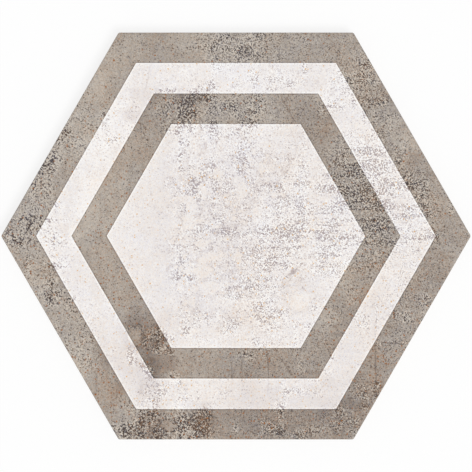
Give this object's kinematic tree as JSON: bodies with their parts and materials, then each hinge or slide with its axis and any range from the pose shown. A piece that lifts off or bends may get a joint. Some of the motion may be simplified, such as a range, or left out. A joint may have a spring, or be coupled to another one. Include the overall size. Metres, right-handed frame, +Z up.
{
  "type": "hexagonal floor tile",
  "caption": "Flat hexagonal porcelain floor tile with concentric hexagon bands on its wearing face, rounded arrises and a shallow honeycomb key on its back.",
  "frame": {"origin": "middle of the back, in the plane of the rim and the rib crests that the tile rests on", "axes": "+Z up out of the wearing face; +X towards a corner, the long way across; +Y towards a joint face"},
  "size_m": [0.2536, 0.22, 0.009],
  "materials": {
    "glazed_porcelain": "matt glaze printed in taupe grey and off-white"
  },
  "bodies": {
    "root": {"hexagon_tile": "glazed_porcelain"}
  },
  "joints": []
}
